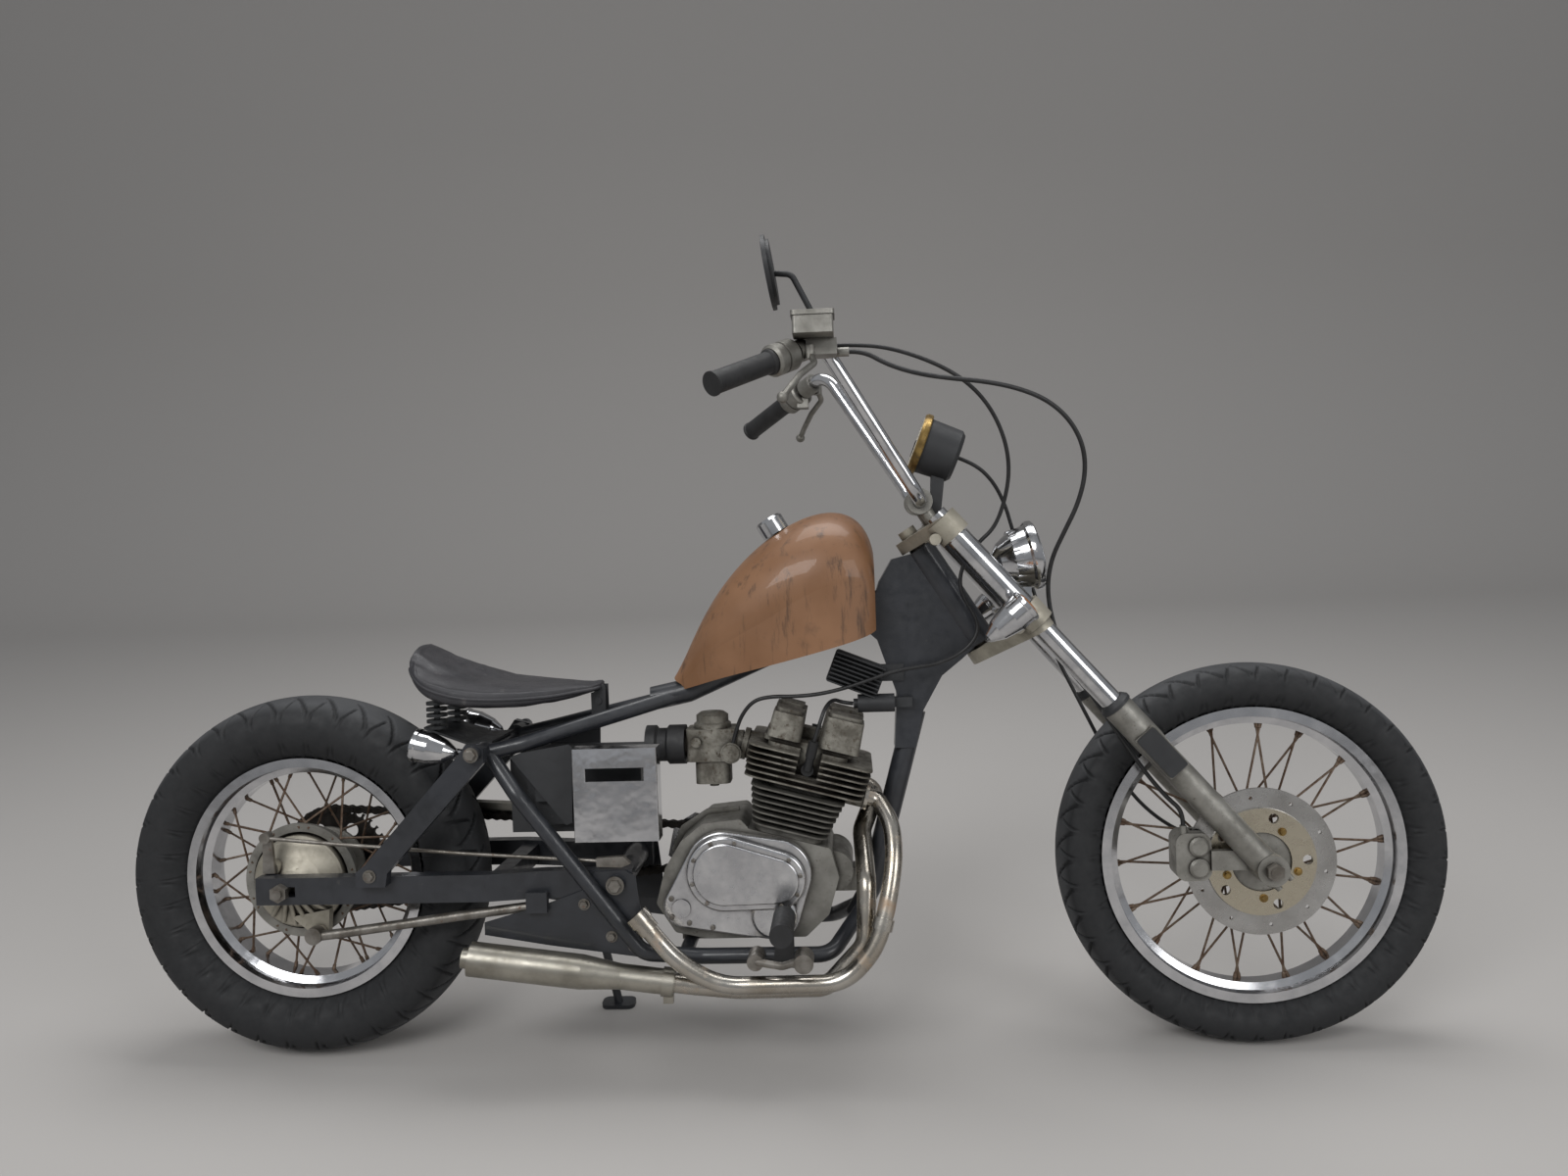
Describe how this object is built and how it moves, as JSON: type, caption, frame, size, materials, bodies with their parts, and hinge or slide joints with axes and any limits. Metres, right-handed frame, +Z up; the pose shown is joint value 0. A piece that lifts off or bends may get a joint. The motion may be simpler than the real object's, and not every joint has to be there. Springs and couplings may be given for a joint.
{
  "type": "custom motorcycle",
  "caption": "Low custom chopper motorcycle with a rigid rear, raked fork, narrow tank, upright engine, solo saddle and forward pegs, leaning on its side stand.",
  "frame": {"origin": "on the ground under the middle of the overall box", "axes": "+X forward along the wheelbase, +Y to the rider's left, +Z up; the machine leans 7 degrees to its left on its side stand"},
  "size_m": [2.1949, 0.6495, 1.3152],
  "materials": {
    "tyre": "worn black rubber",
    "rusty_chrome": "dull chrome with rust specks",
    "cast_alloy": "rough cast, oxidised",
    "rusty_steel": "rusty plated wire",
    "dark_steel": "oily dark steel",
    "worn_steel": "worn plated steel",
    "frame_paint": "chipped black paint",
    "polished_alloy": "polished, hazy",
    "engine_iron": "dark fins",
    "chrome": "chrome plate",
    "rust_paint": "rust-brown patina with vertical streaks",
    "saddle_leather": "worn black leather",
    "black_paint": "satin black",
    "black_rubber": "worn rubber",
    "brass": "tarnished bezel"
  },
  "bodies": {
    "chassis": {"brake_plate": "cast_alloy", "brake_linkage": "worn_steel", "rear_axle": "worn_steel", "chain": "dark_steel", "chain_guard": "worn_steel", "swingarm": "frame_paint", "rear_struts": "polished_alloy", "frame_main": "frame_paint", "engine_cases": "cast_alloy", "crankcase_covers": "polished_alloy", "cylinder_block": "engine_iron", "cylinder_head": "cast_alloy", "valve_cover": "cast_alloy", "carburettor": "cast_alloy", "intake_boot": "black_rubber", "spark_plugs": "black_rubber", "plug_lead": "black_rubber", "throttle_cable": "black_rubber", "header_pipes": "chrome", "muffler": "chrome", "tank": "rust_paint", "tank_cap": "chrome", "saddle": "saddle_leather", "saddle_mount": "worn_steel", "side_covers": "black_paint", "polished_cover": "polished_alloy", "battery_box": "black_paint", "electrics": "black_paint", "rear_signals": "chrome", "footpegs": "black_rubber", "foot_controls": "worn_steel"},
    "rear_wheel": {"rear_tyre": "tyre", "rear_rim": "rusty_chrome", "rear_hub": "cast_alloy", "rear_spokes": "rusty_steel", "rear_sprocket": "dark_steel"},
    "steering": {"lower_yoke": "cast_alloy", "top_yoke": "cast_alloy", "fork_stanchions": "chrome", "fork_sliders": "polished_alloy", "front_axle": "worn_steel", "handlebar": "chrome", "bar_clamps": "cast_alloy", "grips": "black_rubber", "hand_controls": "cast_alloy", "mirror": "chrome", "speedometer": "brass", "headlight": "chrome", "front_signals": "chrome", "brake_caliper": "cast_alloy", "fork_trim": "black_rubber", "brake_hose": "black_rubber", "throttle_loop": "black_rubber", "speedometer_cable": "black_rubber"},
    "front_wheel": {"front_tyre": "tyre", "front_rim": "rusty_chrome", "front_hub": "cast_alloy", "front_spokes": "rusty_steel", "brake_disc": "worn_steel"},
    "side_stand": {"side_stand": "frame_paint"}
  },
  "joints": [
    {"name": "rear_wheel_spin", "type": "hinge", "parent": "chassis", "child": "rear_wheel", "pos_m": [-0.7925, -0.09353, 0.30345], "axis": [0, 0.9925, -0.1219], "continuous": true},
    {"name": "steering_turn", "type": "hinge", "parent": "chassis", "child": "steering", "pos_m": [0.3095, -0.0393, 0.74513], "axis": [-0.5299, 0.1034, 0.8417], "range_deg": [-35, 35]},
    {"name": "front_wheel_spin", "type": "hinge", "parent": "steering", "child": "front_wheel", "pos_m": [0.7855, -0.09268, 0.31039], "axis": [0, 0.9925, -0.1219], "continuous": true},
    {"name": "side_stand_fold", "type": "hinge", "parent": "chassis", "child": "side_stand", "pos_m": [-0.3425, 0.01588, 0.24266], "axis": [0, 0.9925, -0.1219], "range_deg": [0, 85]}
  ]
}
